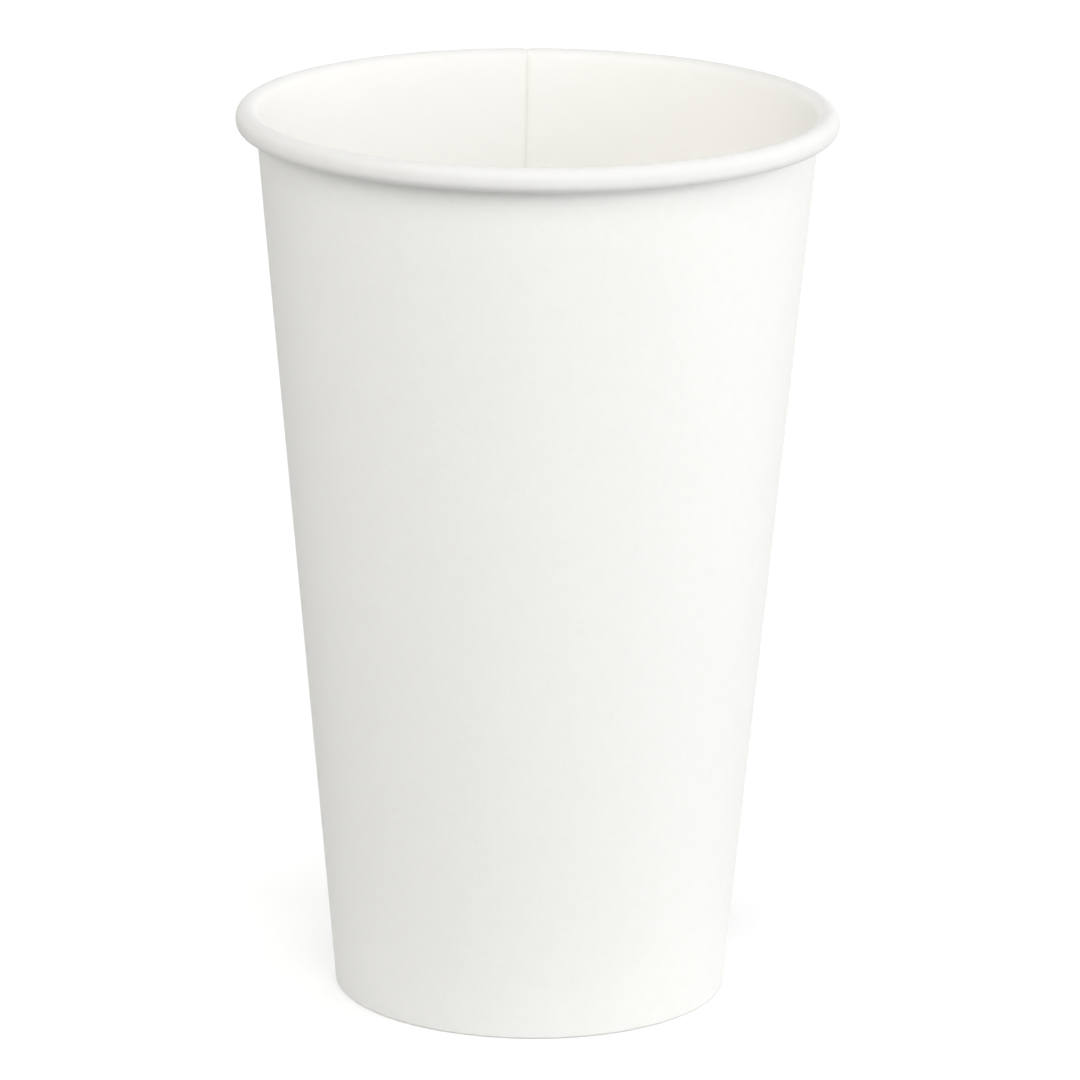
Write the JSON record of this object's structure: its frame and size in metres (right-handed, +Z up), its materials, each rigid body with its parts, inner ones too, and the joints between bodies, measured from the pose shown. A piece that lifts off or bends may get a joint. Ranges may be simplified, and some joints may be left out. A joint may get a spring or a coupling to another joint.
{
  "type": "paper coffee cup",
  "caption": "Plain white single-wall paper cup for hot drinks: tall tapered wall with a lapped side seam, rolled rim and recessed bottom.",
  "frame": {"origin": "centre of the foot, on the plane the cup stands on", "axes": "+Z up along the cup's axis; +X to the picture's right; +Y away from the picture's camera, towards the side seam"},
  "size_m": [0.09, 0.09, 0.1365],
  "materials": {
    "sidewall": "matte uncoated board outside, thin plastic coating inside",
    "bottom": "coated board, satin above and matte below"
  },
  "bodies": {
    "root": {"sidewall": "sidewall", "bottom": "bottom"}
  },
  "joints": []
}
